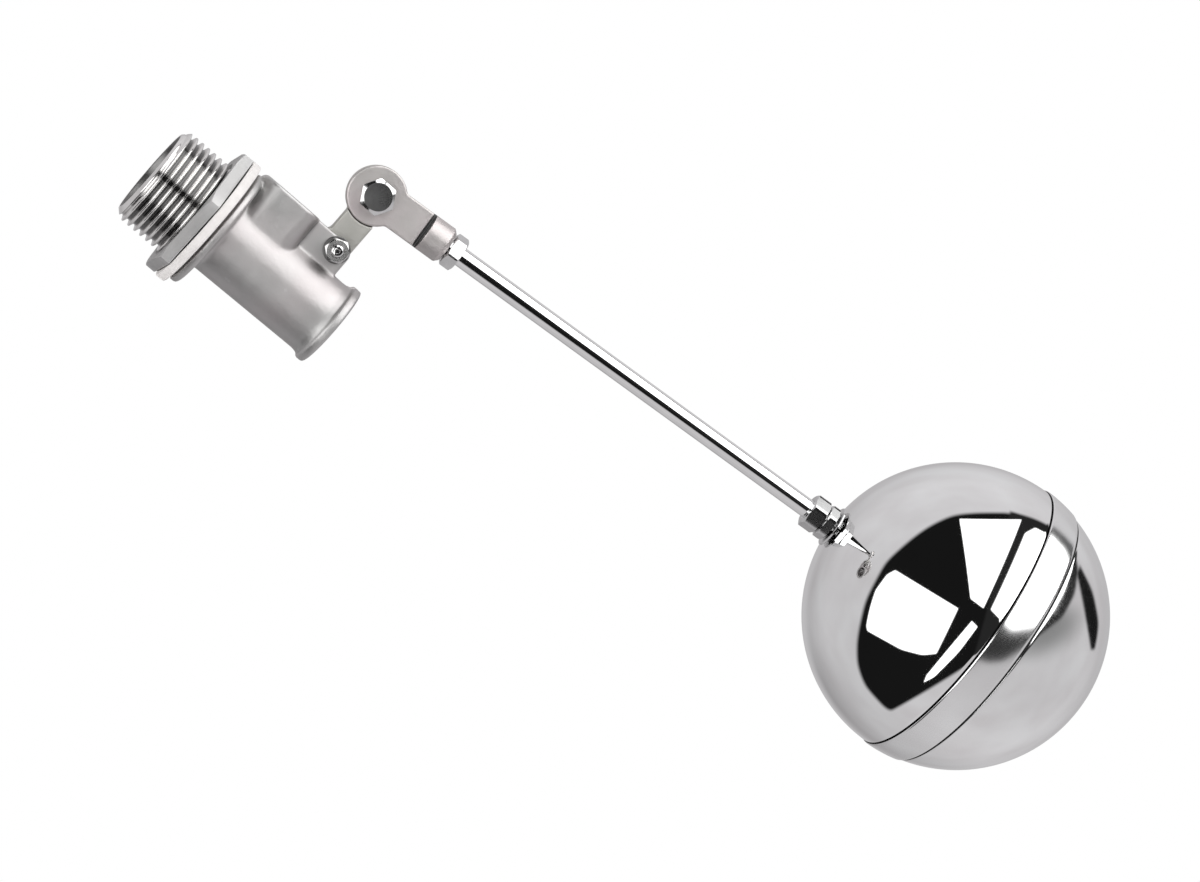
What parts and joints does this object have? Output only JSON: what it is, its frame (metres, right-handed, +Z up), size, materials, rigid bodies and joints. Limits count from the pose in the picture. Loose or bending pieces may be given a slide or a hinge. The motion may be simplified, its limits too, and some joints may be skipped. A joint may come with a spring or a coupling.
{
  "type": "float valve",
  "caption": "Tank float valve: a threaded inlet and barrel, a plunger closed by a cranked lever, and a hollow ball float on an adjustable rod.",
  "frame": {"origin": "centre of the flange face that seals on the tank wall, on the thread axis", "axes": "+X along the water way from the inlet thread to the outlet, +Z up from the barrel through the plunger boss, +Y across the lever along the pivot pins"},
  "size_m": [0.3233, 0.0956, 0.1277],
  "materials": {
    "cast_steel": "satin, fine blasted casting",
    "turned_steel": "machined",
    "polished_steel": "mirror polished",
    "white_rubber": "matt",
    "black_rubber": "matt"
  },
  "bodies": {
    "valve": {"valve_body": "cast_steel", "seat_nozzle": "turned_steel", "wall_gasket": "white_rubber", "pivot_bolt": "turned_steel", "pivot_washer_front": "turned_steel", "pivot_washer_back": "turned_steel", "pivot_nut": "turned_steel"},
    "locknut": {"wall_locknut": "cast_steel"},
    "plunger": {"plunger": "turned_steel", "plunger_pin": "turned_steel", "seal_disc": "black_rubber", "seal_screw": "turned_steel"},
    "lever": {"crank_lever": "cast_steel", "elbow_bolt": "turned_steel", "elbow_washer": "turned_steel", "elbow_nut": "turned_steel"},
    "arm": {"socket_arm": "cast_steel", "rod_locknut": "turned_steel", "float_rod": "polished_steel", "ball_locknut": "turned_steel", "ball_hub_nut": "turned_steel", "ball_washer": "turned_steel", "ball_bush": "turned_steel", "ball_near_shell": "polished_steel", "ball_far_shell": "polished_steel"}
  },
  "joints": [
    {"name": "float_swing", "type": "hinge", "parent": "valve", "child": "lever", "pos_m": [0.0323, 0, 0.0184], "axis": [0, 1, 0], "range_deg": [-18, 0]},
    {"name": "plunger_slide", "type": "slide", "parent": "valve", "child": "plunger", "axis": [0, 0, 1], "range_m": [-0.0058, 0]},
    {"name": "elbow_adjust", "type": "hinge", "parent": "lever", "child": "arm", "pos_m": [0.0313, 0, 0.0385], "axis": [0, 1, 0], "range_deg": [-60, 22]},
    {"name": "locknut_travel", "type": "slide", "parent": "valve", "child": "locknut", "axis": [-1, 0, 0], "range_m": [0, 0.012]}
  ],
  "couplings": [
    {"joint": "plunger_slide", "follows": "float_swing", "m_per_rad": 0.0184}
  ]
}
